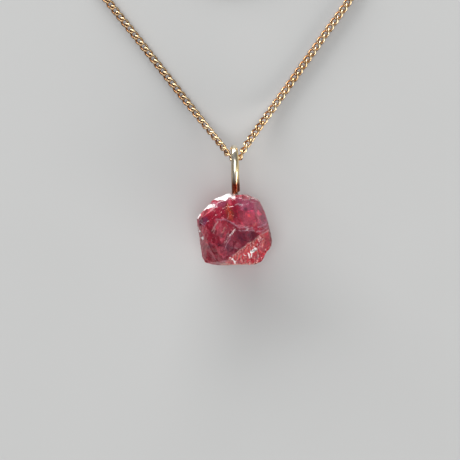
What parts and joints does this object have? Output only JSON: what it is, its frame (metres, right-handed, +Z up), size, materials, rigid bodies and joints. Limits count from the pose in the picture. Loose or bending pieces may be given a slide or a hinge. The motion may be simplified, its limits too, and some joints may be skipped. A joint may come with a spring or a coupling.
{
  "type": "rough spinel pendant",
  "caption": "Rough see-through red spinel crystal, half drilled and cemented on a gold wire bail that hangs on a fine curb chain with a spring ring clasp.",
  "frame": {"origin": "centre of the box round the stone and its bail, on the surface that they lie on", "axes": "+Y from the stone towards the tip of the bail, +Z up from the surface, +X to the right seen from above"},
  "size_m": [0.0386, 0.0627, 0.0081],
  "materials": {
    "spinel": "rough and glossy by turns, see-through",
    "bail_gold": "polished pale yellow gold",
    "chain_gold": "polished warm yellow gold",
    "cement": "clear cured cement"
  },
  "bodies": {
    "root": {"spinel_crystal": "spinel", "bail_wire": "bail_gold", "cement_bead": "cement", "chain_left_run": "chain_gold", "chain_right_run": "chain_gold", "chain_coil": "chain_gold", "spring_ring_clasp": "chain_gold", "jump_ring_right": "chain_gold", "jump_ring_left": "chain_gold"}
  },
  "joints": []
}
